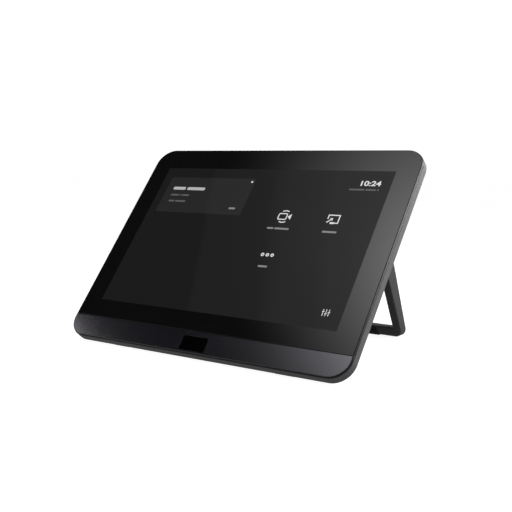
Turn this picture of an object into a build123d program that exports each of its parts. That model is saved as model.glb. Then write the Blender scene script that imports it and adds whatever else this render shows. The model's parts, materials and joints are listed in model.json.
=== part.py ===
from build123d import *
import os
from math import atan2, cos, degrees, radians, sin

# Desk touch console: a tablet-like panel that leans back on two front feet and a hinged U-shaped stand.
# Millimetres. X runs to the right, Y to the back and Z up. The origin is on the desk, under the middle of
# the object's bounding box. Panel pieces are drawn in the panel's own plane: local X across, local Y up the
# glass, and "depth" measured straight back from the glass face.

# ---------------------------------------------------------------- driving dimensions
panel_width = 201.9
panel_height = 150.7
panel_corner = 12.3
panel_tilt = 50.7
side_wall_depth = 6.6
body_depth = 16.0
pod_depth = 29.0
cover_wall = 2.0
foot_standing = 0.8

screen_center = 80.5
chin_top = 14.2

hinge_up = 119.7
hinge_depth = 22.0
stand_lean = 26.6
stand_width = 144.0
arm_width = 5.5
arm_half_thickness = 5.6
foot_half_thickness = 3.75
taper_start = 42.0
crossbar_top = 7.2
pad_standing = 0.4

glass_thickness = 0.8
glass_inset = 0.6
seam_gap = 0.2
frame_floor = 1.0
frame_floor_back = 2.2
frame_flange_back = 1.45
cover_front = 1.6
plate_front = 5.6
plate_back = 6.6
board_front = 13.4
board_back = 15.0

running_clearance = 0.05
front_edge_y = -69.246

# ---------------------------------------------------------------- planes and helpers
tilt_cos = cos(radians(panel_tilt))
tilt_sin = sin(radians(panel_tilt))
lean_cos = cos(radians(stand_lean))
lean_sin = sin(radians(stand_lean))

front_edge_z = side_wall_depth * tilt_cos + foot_standing
panel = Plane(
    origin=(0, front_edge_y, front_edge_z),
    x_dir=(1, 0, 0),
    z_dir=(0, -tilt_sin, tilt_cos),
)
panel_axis = Axis(panel.origin, panel.z_dir)

hinge_y = front_edge_y + hinge_up * tilt_cos + hinge_depth * tilt_sin
hinge_z = front_edge_z + hinge_up * tilt_sin - hinge_depth * tilt_cos
facet_inset = (body_depth - side_wall_depth) * tilt_cos / tilt_sin
facet_taper = degrees(atan2(facet_inset, body_depth - side_wall_depth))


def layer(depth):
    """The panel's plane, moved straight back from the glass face."""
    return panel.offset(-depth)


def side_plane(across):
    """A plane that cuts the panel from front to back: local X runs up the glass, local Y out of it."""
    return Plane(
        origin=panel.from_local_coords((across, 0, 0)),
        x_dir=(0, tilt_cos, tilt_sin),
        z_dir=(1, 0, 0),
    )


def wall_plane(up):
    """A plane across the panel at one height: local X runs to the right, local Y straight back."""
    return Plane(
        origin=panel.from_local_coords((0, up, 0)),
        x_dir=(1, 0, 0),
        z_dir=(0, tilt_cos, tilt_sin),
    )


def hinge_plane(across):
    """A plane square to the hinge axis and centred on it: local X runs up the glass, local Y out of it."""
    return Plane(
        origin=(across, hinge_y, hinge_z),
        x_dir=(0, tilt_cos, tilt_sin),
        z_dir=(1, 0, 0),
    )


def outline(inset):
    """The panel's rounded outline in the current sketch, drawn in from the edge all round."""
    with Locations((0, panel_height / 2)):
        RectangleRounded(panel_width - 2 * inset, panel_height - 2 * inset, panel_corner - inset)


def block(across, up, width, height, front, back, corner=0.0):
    """A plate or a chip that lies parallel to the glass."""
    with BuildPart() as made:
        with BuildSketch(layer(front)):
            with Locations((across, up)):
                if corner:
                    RectangleRounded(width, height, corner)
                else:
                    Rectangle(width, height)
        extrude(amount=front - back)
    return made


def ribbon(across, width, points, bend_radius, thickness=0.2):
    """A flat cable that is bent only about the panel's cross direction. Points are height and depth."""
    with BuildPart() as made:
        with BuildSketch(side_plane(across - width / 2)) as section:
            with BuildLine():
                FilletPolyline(*[(up, -depth) for up, depth in points], radius=bend_radius)
            trace(line_width=thickness)
        extrude(amount=width)
    return made


def screws(places, head_radius, head_front, head_back, core_radius, tip):
    """A group of pan-head screws that point straight at the glass, or away from it, with a cross recess."""
    inward = 1 if tip < head_front else -1
    with BuildPart() as made:
        with BuildSketch(layer(head_front)):
            with Locations(*places):
                Circle(head_radius)
        extrude(amount=head_front - head_back)
        with BuildSketch(layer(head_front if inward > 0 else head_back)):
            with Locations(*places):
                Circle(core_radius)
        extrude(amount=(head_front - tip) if inward > 0 else (head_back - tip))
        with BuildSketch(layer(head_back if inward > 0 else head_front)):
            with Locations(*places):
                Rectangle(head_radius * 1.1, head_radius * 0.26)
                Rectangle(head_radius * 0.26, head_radius * 1.1)
        extrude(amount=inward * 0.5 * abs(head_back - head_front), mode=Mode.SUBTRACT)
    return made


def mirrored(right):
    """The left-hand twin of a right-hand piece."""
    with BuildPart() as left:
        mirror(right.part, about=Plane.YZ)
    return left


pieces = {}

# ---------------------------------------------------------------- front: glass, chin and screen
with BuildPart() as cover_glass:
    with BuildSketch(layer(0)):
        outline(glass_inset)
        with Locations((0, (chin_top + seam_gap / 2) / 2)):
            Rectangle(panel_width, chin_top + seam_gap / 2, mode=Mode.SUBTRACT)
    extrude(amount=-glass_thickness)
    chamfer(cover_glass.faces().sort_by(panel_axis)[-1].edges(), 0.15)
pieces["cover_glass"] = cover_glass

window_width = 18.4
window_height = 9.2
window_center = 6.4
with BuildPart() as chin_strip:
    with BuildSketch(layer(0)):
        outline(glass_inset)
        with Locations((0, (panel_height + chin_top - seam_gap / 2) / 2)):
            Rectangle(panel_width, panel_height - chin_top + seam_gap / 2, mode=Mode.SUBTRACT)
        with Locations((0, window_center)):
            RectangleRounded(window_width, window_height, 0.8, mode=Mode.SUBTRACT)
    extrude(amount=-frame_floor)
    chamfer(chin_strip.faces().sort_by(panel_axis)[-1].outer_wire().edges(), 0.15)
pieces["chin_strip"] = chin_strip

window_gap = 0.1
with BuildPart() as sensor_window:
    with BuildSketch(layer(0.1)):
        with Locations((0, window_center)):
            RectangleRounded(window_width - 2 * window_gap, window_height - 2 * window_gap, 0.7)
    extrude(amount=0.1 - frame_floor)
pieces["sensor_window"] = sensor_window

opening_width = 186.0
opening_height = 117.0
with BuildPart() as glass_adhesive:
    with BuildSketch(layer(glass_thickness)):
        outline(1.4)
        with Locations((0, (chin_top + 1) / 2)):
            Rectangle(panel_width, chin_top + 1, mode=Mode.SUBTRACT)
        with Locations((0, screen_center)):
            Rectangle(opening_width + 1, opening_height + 1, mode=Mode.SUBTRACT)
    extrude(amount=glass_thickness - frame_floor)
pieces["glass_adhesive"] = glass_adhesive

touch_back = 1.2
cell_back = 2.4
backlight_back = 5.4
touch_width = 182.0
cell_width = 180.0
cell_height = 113.0
backlight_width = 184.0
backlight_height = 114.0
pieces["touch_sensor"] = block(0, screen_center, touch_width, cell_height, glass_thickness, touch_back)
pieces["lcd_panel"] = block(0, screen_center, cell_width, cell_height, touch_back, cell_back)
with BuildPart() as backlight_unit:
    with BuildSketch(layer(cell_back)):
        with Locations((0, screen_center)):
            RectangleRounded(backlight_width, backlight_height, 1)
    extrude(amount=cell_back - backlight_back)
    chamfer(backlight_unit.faces().sort_by(panel_axis)[0].edges(), 0.4)
pieces["backlight_unit"] = backlight_unit

# ---------------------------------------------------------------- front frame that carries the glass
rim_front = 0.15
rim_slope_back = 1.25
skirt_inset = 2.3
skirt_wall = 1.3
skirt_back = 6.0
plate_screw_across = 94.4
plate_screw_rise = 46.0
plate_boss_radius = 2.1
plate_screw_radius = 0.95
sensor_post_places = [(-9, 11.6), (9, 11.6)]
sensor_post_radius = 1.2
sensor_opening_width = 13.0
sensor_opening_height = 6.0
sensor_board_front = 5.0
sensor_board_back = 6.0
plate_screw_places = [
    (side * plate_screw_across, screen_center + step * plate_screw_rise)
    for side in (-1, 1)
    for step in (-1, 0, 1)
]
with BuildPart() as front_frame:
    with BuildSketch(layer(frame_flange_back)):
        outline(0)
    extrude(amount=frame_flange_back - rim_slope_back)
    rim_taper = degrees(atan2(glass_inset - seam_gap, rim_slope_back - rim_front))
    with BuildSketch(layer(rim_slope_back)):
        outline(0)
    extrude(amount=rim_slope_back - rim_front, taper=rim_taper)
    with BuildSketch(layer(rim_front)):
        outline(glass_inset)
    extrude(amount=rim_front - frame_floor, mode=Mode.SUBTRACT)
    with BuildSketch(layer(frame_flange_back)):
        outline(skirt_inset)
    extrude(amount=frame_flange_back - frame_floor_back)
    with BuildSketch(layer(frame_floor_back)):
        outline(skirt_inset)
        with Locations((0, panel_height / 2)):
            skirt_width = panel_width - 2 * (skirt_inset + skirt_wall)
            skirt_height = panel_height - 2 * (skirt_inset + skirt_wall)
            RectangleRounded(
                skirt_width, skirt_height, panel_corner - skirt_inset - skirt_wall, mode=Mode.SUBTRACT
            )
    extrude(amount=frame_floor_back - skirt_back)
    with BuildSketch(layer(frame_floor_back)):
        with Locations(*plate_screw_places):
            Circle(plate_boss_radius)
    extrude(amount=frame_floor_back - plate_front)
    with BuildSketch(layer(frame_floor_back)):
        with Locations(*sensor_post_places):
            Circle(sensor_post_radius)
    extrude(amount=frame_floor_back - sensor_board_front)
    with BuildSketch(layer(frame_floor)):
        with Locations((0, screen_center)):
            Rectangle(opening_width, opening_height)
        with Locations((0, window_center)):
            Rectangle(sensor_opening_width, sensor_opening_height)
    extrude(amount=frame_floor - frame_floor_back, mode=Mode.SUBTRACT)
    with BuildSketch(layer(plate_front)):
        with Locations(*plate_screw_places):
            Circle(plate_screw_radius + 0.02)
    extrude(amount=plate_front - frame_floor_back, mode=Mode.SUBTRACT)
pieces["front_frame"] = front_frame

# ---------------------------------------------------------------- presence sensor behind the chin window
sensor_width = 11.0
sensor_height = 4.8
sensor_front = 2.0
with BuildPart() as presence_sensor:
    with BuildSketch(layer(sensor_front)):
        with Locations((0, window_center)):
            RectangleRounded(sensor_width, sensor_height, 0.6)
    extrude(amount=sensor_front - sensor_board_front)
    fillet(presence_sensor.faces().sort_by(panel_axis)[-1].edges(), 0.4)
pieces["presence_sensor"] = presence_sensor
pieces["sensor_board"] = block(0, 8.6, 22, 8.8, sensor_board_front, sensor_board_back)

# ---------------------------------------------------------------- chassis plate behind the screen
cover_screw_places = [(side * 84, up) for side in (-1, 1) for up in (32, 128)]
cover_screw_core = 1.2
cover_boss_front = 11.1
cover_post_radius = 2.8
cover_post_back = cover_boss_front - 0.1
plate_width = 193.4
plate_low = 26.0
plate_high = 139.0
plate_slot_length = 34.0
plate_slot_width = 5.0
plate_window_width = 22.0
plate_window_height = 60.0
board_width = 92.0
board_low = 43.0
board_high = 113.0
board_center = (board_low + board_high) / 2
board_screw_places = [(side * 42, up) for side in (-1, 1) for up in (board_low + 4, board_high - 4)]
board_screw_core = 1.0
board_post_radius = 2.4
with BuildPart() as chassis_plate:
    with BuildSketch(layer(plate_front)):
        with Locations((0, (plate_low + plate_high) / 2)):
            RectangleRounded(plate_width, plate_high - plate_low, 4)
        with GridLocations(plate_slot_length + 12, 0, 4, 1):
            with Locations((0, plate_high - 7.5)):
                SlotOverall(plate_slot_length, plate_slot_width, mode=Mode.SUBTRACT)
        with Locations((-70, 80), (70, 80)):
            RectangleRounded(plate_window_width, plate_window_height, 4, mode=Mode.SUBTRACT)
    extrude(amount=plate_front - plate_back)
    with BuildSketch(layer(plate_back)):
        with Locations(*cover_screw_places):
            Circle(cover_post_radius)
    extrude(amount=plate_back - cover_post_back)
    with BuildSketch(layer(plate_back)):
        with Locations(*board_screw_places):
            Circle(board_post_radius)
    extrude(amount=plate_back - board_front)
    with BuildSketch(layer(cover_post_back)):
        with Locations(*cover_screw_places):
            Circle(cover_screw_core + 0.02)
    extrude(amount=cover_post_back - plate_back, mode=Mode.SUBTRACT)
    with BuildSketch(layer(board_front)):
        with Locations(*board_screw_places):
            Circle(board_screw_core + 0.02)
    extrude(amount=board_front - plate_back, mode=Mode.SUBTRACT)
    with BuildSketch(layer(plate_front)):
        with Locations(*plate_screw_places):
            Circle(plate_screw_radius + 0.25)
    extrude(amount=plate_front - plate_back, mode=Mode.SUBTRACT)
pieces["chassis_plate"] = chassis_plate
pieces["chassis_screws"] = screws(plate_screw_places, 1.9, plate_back, 7.8, plate_screw_radius, 3.0)

# ---------------------------------------------------------------- main board and what is soldered to it
jack_across = -22.0
usb_across = 3.0
reset_across = 20.0
lock_across = 38.0
port_face = 40.0
pod_low = port_face
pod_high = 130.0
pod_half_width = 66.0
pod_wall = 1.8
port_wall = 2.0

with BuildPart() as main_board:
    with BuildSketch(layer(board_front)):
        with Locations((0, board_center)):
            RectangleRounded(board_width, board_high - board_low, 2)
        with Locations(*board_screw_places):
            Circle(board_screw_core + 0.2, mode=Mode.SUBTRACT)
    extrude(amount=board_front - board_back)
pieces["main_board"] = main_board
board_screw_head_back = board_back + 1.3
pieces["board_screws"] = screws(
    board_screw_places, 1.9, board_back, board_screw_head_back, board_screw_core, 8.5
)

processor_place = (8, 84)
processor_size = 16.0
chip_front = board_front - 1.2
heat_block_back = chip_front - 0.8
heat_block_size = 30.0
heat_groove_width = 2.0
pieces["processor"] = block(*processor_place, processor_size, processor_size, chip_front, board_front)
pieces["thermal_pad"] = block(
    *processor_place, processor_size + 2, processor_size + 2, heat_block_back, chip_front
)
with BuildPart() as heat_block:
    with BuildSketch(layer(plate_back)):
        with Locations(processor_place):
            RectangleRounded(heat_block_size, heat_block_size, 2)
    extrude(amount=plate_back - heat_block_back)
    with BuildSketch(layer(plate_back + 1.2)):
        with Locations(processor_place):
            with GridLocations(0, 3 * heat_groove_width, 1, 4):
                Rectangle(heat_block_size + 10, heat_groove_width)
    extrude(amount=-1.6, mode=Mode.SUBTRACT)
pieces["heat_block"] = heat_block

can_wall = 0.4
can_width = 36.0
can_height = 32.0
can_depth = 2.4
with BuildPart() as shield_can:
    with BuildSketch(layer(board_back)):
        with Locations(processor_place):
            RectangleRounded(can_width, can_height, 1)
    extrude(amount=-can_depth)
    with BuildSketch(layer(board_back)):
        with Locations(processor_place):
            Rectangle(can_width - 2 * can_wall, can_height - 2 * can_wall)
    extrude(amount=can_wall - can_depth, mode=Mode.SUBTRACT)
    with BuildSketch(layer(board_back + can_depth - can_wall)):
        with Locations(processor_place):
            with GridLocations(6, 6, 4, 3):
                Circle(0.7)
    extrude(amount=-can_wall, mode=Mode.SUBTRACT)
pieces["shield_can"] = shield_can

with BuildPart() as memory_chips:
    with BuildSketch(layer(board_back)):
        with Locations((0, 84), (16, 84)):
            Rectangle(9, 13)
    extrude(amount=-1.0)
pieces["memory_chips"] = memory_chips

pieces["wifi_module"] = block(34, 99, 15, 13, board_back, board_back + 2.2, 0.6)
pieces["poe_transformer"] = block(-30, 76, 18, 15, board_back, board_back + 9.5, 1.0)

with BuildPart() as bulk_capacitors:
    with BuildSketch(layer(board_back)):
        with Locations((-36, 92), (-26, 92), (-36, 102)):
            Circle(3.6)
    extrude(amount=-8.5)
    chamfer(bulk_capacitors.faces().sort_by(panel_axis)[:3].edges(), 0.4)
pieces["bulk_capacitors"] = bulk_capacitors

connector_low = 48.0
ribbon_places = {"display": (-12, 24), "sensor": (5.5, 4), "touch": (16, 10)}
with BuildPart() as ribbon_connectors:
    with BuildSketch(layer(chip_front)):
        for across, width in ribbon_places.values():
            with Locations((across, connector_low + 2)):
                Rectangle(width + 3, 4)
    extrude(amount=chip_front - board_front)
pieces["ribbon_connectors"] = ribbon_connectors

ribbon_turn = board_low + 1.2
ribbon_run = plate_back + 0.8
ribbon_end = chip_front + 0.6
cell_low = screen_center - cell_height / 2
ribbon_drop = 22.8
pieces["display_cable"] = ribbon(
    *ribbon_places["display"],
    [
        (cell_low, 1.8),
        (ribbon_drop, 1.8),
        (ribbon_drop, ribbon_run),
        (ribbon_turn, ribbon_run),
        (ribbon_turn, ribbon_end),
        (connector_low, ribbon_end),
    ],
    0.4,
)
pieces["touch_cable"] = ribbon(
    *ribbon_places["touch"],
    [
        (cell_low, 1.0),
        (ribbon_drop, 1.0),
        (ribbon_drop, ribbon_run),
        (ribbon_turn, ribbon_run),
        (ribbon_turn, ribbon_end),
        (connector_low, ribbon_end),
    ],
    0.4,
)
pieces["sensor_cable"] = ribbon(
    *ribbon_places["sensor"],
    [
        (13.0, 5.5),
        (15, 5.5),
        (15, ribbon_run),
        (ribbon_turn, ribbon_run),
        (ribbon_turn, ribbon_end),
        (connector_low, ribbon_end),
    ],
    0.4,
)

# ---------------------------------------------------------------- sockets on the port wall
jack_width = 16.0
jack_height = 11.5
jack_length = 21.0
jack_front = port_face + 0.5
jack_depth = board_back + jack_height / 2
cavity_width = 11.8
cavity_height = 6.8
latch_width = 6.2
latch_height = 1.8
cavity_length = 13.0
cavity_depth = jack_depth - 0.9
with BuildPart() as rj45_jack:
    with BuildSketch(wall_plane(jack_front)):
        with Locations((jack_across, jack_depth)):
            RectangleRounded(jack_width, jack_height, 0.5)
    extrude(amount=jack_length)
    with BuildSketch(wall_plane(jack_front)):
        with Locations((jack_across, cavity_depth)):
            Rectangle(cavity_width, cavity_height)
        with Locations((jack_across, cavity_depth + (cavity_height + latch_height) / 2)):
            Rectangle(latch_width, latch_height)
    extrude(amount=cavity_length, mode=Mode.SUBTRACT)
pieces["rj45_jack"] = rj45_jack

contact_pitch = 1.02
with BuildPart() as rj45_contacts:
    contact_top = cavity_depth - cavity_height / 2
    for index in range(8):
        across = jack_across + (index - 3.5) * contact_pitch
        with BuildSketch(side_plane(across - 0.2)):
            with BuildLine():
                Polyline(
                    (jack_front + 3.0, -contact_top),
                    (jack_front + 3.6, -contact_top),
                    (jack_front + 10.6, -contact_top - 2.2),
                    (jack_front + 10.0, -contact_top - 2.2),
                    close=True,
                )
            make_face()
        extrude(amount=0.4)
pieces["rj45_contacts"] = rj45_contacts

usb_width = 8.94
usb_height = 3.26
usb_length = 7.3
usb_front = port_face + 0.4
usb_depth = board_back + usb_height / 2
with BuildPart() as usb_c_port:
    with BuildSketch(wall_plane(usb_front)):
        with Locations((usb_across, usb_depth)):
            SlotOverall(usb_width, usb_height)
            SlotOverall(usb_width - 0.6, usb_height - 0.6, mode=Mode.SUBTRACT)
    extrude(amount=usb_length)
    with BuildSketch(wall_plane(usb_front + usb_length - 0.5)):
        with Locations((usb_across, usb_depth)):
            SlotOverall(usb_width, usb_height)
    extrude(amount=0.5)
pieces["usb_c_port"] = usb_c_port
with BuildPart() as usb_c_tongue:
    with BuildSketch(wall_plane(usb_front + 1.0)):
        with Locations((usb_across, usb_depth)):
            Rectangle(6.7, 0.7)
    extrude(amount=usb_length - 1.5)
pieces["usb_c_tongue"] = usb_c_tongue

# ---------------------------------------------------------------- reset button and its switch
reset_depth = 18.4
reset_stem_radius = 1.3
reset_collar_radius = 2.1
reset_travel = 0.5
reset_tip = 44.6
switch_back = 21.0
with BuildPart() as reset_button:
    with BuildSketch(wall_plane(port_face + 0.3)):
        with Locations((reset_across, reset_depth)):
            Circle(reset_stem_radius)
    extrude(amount=reset_tip - port_face - 0.3)
    with BuildSketch(wall_plane(port_face + port_wall + 0.1)):
        with Locations((reset_across, reset_depth)):
            Circle(reset_collar_radius)
    extrude(amount=0.8)
    fillet(reset_button.faces().sort_by(Axis(panel.origin, panel.y_dir))[0].edges(), 0.25)
pieces["reset_button"] = reset_button
switch_front = reset_tip + reset_travel + 0.1
with BuildPart() as reset_switch:
    with BuildSketch(wall_plane(switch_front)):
        with Locations((reset_across, (board_back + switch_back) / 2)):
            Rectangle(5, switch_back - board_back)
    extrude(amount=3.6)
pieces["reset_switch"] = reset_switch

# ---------------------------------------------------------------- rear cover with its pod and cable bay
bay_half_width = 48.0
bay_low = 13.0
bay_floor = 11.0
bay_skin = 1.8
pod_corner = 5.0
cover_boss_radius = 3.4
cover_head_seat = 13.0
bracket_screw_places = [(56.5, 101.5), (56.5, 109.0)]
bracket_boss_radius = 2.9
bracket_seat = 15.6
pin_hole_radius = 2.9
vent_length = 16.0
vent_width = 1.8
vent_pitch = 6.0
vent_up = 112.0
foot_across = 60.0
foot_length = 14.0
foot_width = 6.0
foot_recess = 0.8
foot_y = front_edge_y + side_wall_depth * tilt_sin + 2.0 + foot_width / 2
lock_slot_width = 7.0
lock_slot_height = 3.0
lock_depth = 20.5
pod_inner = pod_depth - pod_wall
with BuildPart() as rear_cover:
    with BuildSketch(layer(cover_front)):
        outline(0)
    extrude(amount=cover_front - side_wall_depth)
    with BuildSketch(layer(side_wall_depth)):
        outline(0)
    extrude(amount=side_wall_depth - body_depth, taper=facet_taper)
    fillet(rear_cover.faces().sort_by(panel_axis)[0].edges(), 3.0)
    # the pod on the back: hinges at its sides, sockets in its lower wall
    with BuildSketch(layer(body_depth)):
        with Locations((0, (pod_low + pod_high) / 2)):
            RectangleRounded(2 * pod_half_width, pod_high - pod_low, pod_corner)
    extrude(amount=body_depth - pod_depth)
    fillet(rear_cover.faces().sort_by(panel_axis)[0].edges(), 2.5)
    # hollow body
    with BuildSketch(layer(cover_front)):
        outline(cover_wall)
    extrude(amount=cover_front - side_wall_depth, mode=Mode.SUBTRACT)
    with BuildSketch(layer(side_wall_depth - 0.6)):
        outline(cover_wall)
    extrude(
        amount=side_wall_depth - 0.6 - (body_depth - cover_wall), taper=facet_taper, mode=Mode.SUBTRACT
    )
    # hollow pod
    with BuildSketch(layer(body_depth - cover_wall)):
        with Locations((0, (pod_low + port_wall + pod_high - cover_wall) / 2)):
            RectangleRounded(
                2 * (pod_half_width - cover_wall), pod_high - pod_low - port_wall - cover_wall, 3
            )
    extrude(amount=body_depth - cover_wall - pod_inner, mode=Mode.SUBTRACT)
    # cable bay: a trough below the sockets that leaves room for the plugs
    with BuildSketch(layer(bay_floor - bay_skin)):
        with Locations((0, (bay_low - bay_skin + port_face + port_wall) / 2)):
            Rectangle(2 * (bay_half_width + bay_skin), port_face + port_wall - bay_low + bay_skin)
    extrude(amount=bay_floor - bay_skin - body_depth)
    with BuildSketch(layer(bay_floor)):
        with Locations((0, (bay_low + port_face) / 2)):
            Rectangle(2 * bay_half_width, port_face - bay_low)
    extrude(amount=bay_floor - body_depth, mode=Mode.SUBTRACT)
    # bosses for the four cover screws
    with BuildSketch(layer(cover_boss_front)):
        with Locations(*cover_screw_places):
            Circle(cover_boss_radius)
    extrude(amount=cover_boss_front - body_depth + 0.5)
    with BuildSketch(layer(cover_boss_front)):
        with Locations(*cover_screw_places):
            Circle(cover_screw_core + 0.25)
    extrude(amount=cover_boss_front - body_depth, mode=Mode.SUBTRACT)
    with BuildSketch(layer(cover_head_seat)):
        with Locations(*cover_screw_places):
            Circle(2.7)
    extrude(amount=cover_head_seat - body_depth, mode=Mode.SUBTRACT)
    # bosses for the hinge brackets, inside the pod
    bracket_bosses = [(side * across, up) for side in (-1, 1) for across, up in bracket_screw_places]
    with BuildSketch(layer(bracket_seat)):
        with Locations(*bracket_bosses):
            Circle(bracket_boss_radius)
    extrude(amount=bracket_seat - pod_inner - 0.5)
    with BuildSketch(layer(bracket_seat)):
        with Locations(*bracket_bosses):
            Circle(1.02)
    extrude(amount=-7.0, mode=Mode.SUBTRACT)
    # holes for the hinge pins
    with BuildSketch(hinge_plane(-pod_half_width)):
        Circle(pin_hole_radius)
    extrude(amount=2 * pod_half_width, mode=Mode.SUBTRACT)
    # sockets, reset button and lock slot in the pod's lower wall
    with BuildSketch(wall_plane(port_face)):
        with Locations((jack_across, jack_depth)):
            RectangleRounded(jack_width + 0.4, jack_height + 0.4, 0.6)
        with Locations((usb_across, usb_depth)):
            SlotOverall(usb_width + 0.6, usb_height + 0.6)
        with Locations((reset_across, reset_depth)):
            Circle(reset_stem_radius + 0.3)
        with Locations((lock_across, lock_depth)):
            RectangleRounded(lock_slot_width, lock_slot_height, 0.6)
    extrude(amount=port_wall, mode=Mode.SUBTRACT)
    # air slots in the pod's back
    with BuildSketch(layer(pod_inner - 1)):
        with Locations((0, vent_up)):
            with GridLocations(vent_pitch, 0, 13, 1):
                SlotOverall(vent_length, vent_width, rotation=90)
    extrude(amount=-(pod_wall + 2), mode=Mode.SUBTRACT)
    # seats for the two rubber feet
    with BuildSketch(Plane.XY.offset(foot_standing)):
        with Locations((-foot_across, foot_y), (foot_across, foot_y)):
            RectangleRounded(foot_length, foot_width, 1.5)
    extrude(amount=foot_recess, mode=Mode.SUBTRACT)
pieces["rear_cover"] = rear_cover
pieces["housing_screws"] = screws(
    cover_screw_places, 2.4, cover_head_seat, cover_head_seat + 1.8, cover_screw_core, 7.2
)

with BuildPart() as security_plate:
    with BuildSketch(wall_plane(port_face + port_wall)):
        with Locations((lock_across, lock_depth)):
            RectangleRounded(14, 9, 1)
            RectangleRounded(lock_slot_width, lock_slot_height, 0.6, mode=Mode.SUBTRACT)
    extrude(amount=1.2)
pieces["security_plate"] = security_plate

with BuildPart() as front_foot_right:
    with BuildSketch(Plane.XY):
        with Locations((foot_across, foot_y)):
            RectangleRounded(foot_length, foot_width, 1.5)
    extrude(amount=foot_standing + foot_recess)
    chamfer(front_foot_right.faces().sort_by(Axis.Z)[0].edges(), 0.25)
pieces["front_foot_right"] = front_foot_right
pieces["front_foot_left"] = mirrored(front_foot_right)

# ---------------------------------------------------------------- wireless antennas and their leads
antenna_center = 61.0
antenna_up = 143.3
antenna_length = 32.0
antenna_width = 6.0
antenna_thickness = 0.4
lead_radius = 0.5
with BuildPart() as wifi_antenna_right:
    with BuildSketch(layer(frame_floor_back)):
        with Locations((antenna_center, antenna_up)):
            Rectangle(antenna_length, antenna_width)
    extrude(amount=-antenna_thickness)
pieces["wifi_antenna_right"] = wifi_antenna_right
pieces["wifi_antenna_left"] = mirrored(wifi_antenna_right)

lead_across = 36.0
lead_up = 104.0
lead_start = frame_floor_back + antenna_thickness + lead_radius
lead_run = 9.5
lead_points = [
    (antenna_center - 10, antenna_up, lead_start),
    (lead_across, antenna_up, lead_start),
    (lead_across, antenna_up, lead_run),
    (lead_across, lead_up, lead_run),
    (lead_across, lead_up, board_front),
]
with BuildPart() as antenna_lead_right:
    with BuildLine() as lead_path:
        FilletPolyline(
            *[panel.from_local_coords((across, up, -depth)) for across, up, depth in lead_points],
            radius=1.5,
        )
    with BuildSketch(Plane(origin=lead_path.line @ 0, z_dir=lead_path.line % 0)):
        Circle(lead_radius)
    sweep()
pieces["antenna_lead_right"] = antenna_lead_right
pieces["antenna_lead_left"] = mirrored(antenna_lead_right)

# ---------------------------------------------------------------- hinge pieces that stay on the cover
pin_radius = 2.5
bracket_outer = pod_half_width - cover_wall - 0.1
bracket_sheet = 2.0
bracket_inner = bracket_outer - bracket_sheet
bracket_low = 97.5
bracket_high = 124.5
bracket_front = 14.0
bracket_back = 26.6
bracket_tab_inner = 52.5
bracket_tab_high = 113.0
washer_radius = 4.4
washer_thickness = 0.6
stop_lug_radius = 6.8
stop_lug_half_angle = 15.0
stop_tab_half_angle = 12.0
stop_gap_angle = 1.0
stop_outer = bracket_inner - 1.5
stop_thickness = 1.2
lug_angle = 180.0
tab_angle = lug_angle + stop_lug_half_angle + stop_tab_half_angle + stop_gap_angle


def wedge(angle, half_angle, inner_radius, outer_radius):
    """A short sector of a ring about the hinge axis, in the current sketch."""
    corners = [
        (radius * cos(radians(angle + turn)), radius * sin(radians(angle + turn)))
        for radius, turn in (
            (inner_radius, -half_angle),
            (outer_radius, -half_angle),
            (outer_radius, half_angle),
            (inner_radius, half_angle),
        )
    ]
    Polygon(*corners, align=None)


with BuildPart() as hinge_bracket_right:
    with BuildSketch(side_plane(bracket_inner)):
        with BuildLine():
            Polyline(
                (bracket_low, -bracket_front),
                (bracket_high, -bracket_front),
                (bracket_high, -bracket_back),
                (bracket_tab_high + 0.5, -bracket_back),
                (bracket_low, -bracket_seat),
                close=True,
            )
        make_face()
    extrude(amount=bracket_sheet)
    with BuildSketch(layer(bracket_front)):
        with Locations(((bracket_tab_inner + bracket_outer) / 2, (bracket_low + bracket_tab_high) / 2)):
            Rectangle(bracket_outer - bracket_tab_inner, bracket_tab_high - bracket_low)
    extrude(amount=bracket_front - bracket_seat)
    with BuildSketch(layer(bracket_front)):
        with Locations(*bracket_screw_places):
            Circle(1.25)
    extrude(amount=bracket_front - bracket_seat, mode=Mode.SUBTRACT)
    with BuildSketch(hinge_plane(bracket_inner)):
        wedge(tab_angle, stop_tab_half_angle, washer_radius + 0.6, stop_lug_radius)
    extrude(amount=-(1.5 + stop_thickness))
    with BuildSketch(hinge_plane(bracket_inner)):
        Circle(pin_radius + running_clearance)
    extrude(amount=bracket_sheet, mode=Mode.SUBTRACT)
pieces["hinge_bracket_right"] = hinge_bracket_right
pieces["hinge_bracket_left"] = mirrored(hinge_bracket_right)
pieces["hinge_screws"] = screws(bracket_bosses, 1.9, bracket_front - 1.4, bracket_front, 1.0, 20.5)

# ---------------------------------------------------------------- hinge pieces that turn with the stand
arm_inner = stand_width / 2 - arm_width
pin_outer = stand_width / 2 - 0.8
nut_outer = stop_outer - stop_thickness
nut_thickness = 2.6
with BuildPart() as hinge_pin_right:
    with BuildSketch(hinge_plane(nut_outer - nut_thickness - 0.6)):
        Circle(pin_radius)
    extrude(amount=pin_outer - (nut_outer - nut_thickness - 0.6))
    chamfer(hinge_pin_right.faces().sort_by(Axis.X)[0].edges(), 0.4)
pieces["hinge_pin_right"] = hinge_pin_right
pieces["hinge_pin_left"] = mirrored(hinge_pin_right)

with BuildPart() as friction_washers_right:
    for washer_inner in (bracket_inner - 0.7, bracket_inner - 1.4):
        with BuildSketch(hinge_plane(washer_inner)):
            Circle(washer_radius)
            Circle(pin_radius + 0.02, mode=Mode.SUBTRACT)
        extrude(amount=washer_thickness)
pieces["friction_washers_right"] = friction_washers_right
pieces["friction_washers_left"] = mirrored(friction_washers_right)

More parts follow.
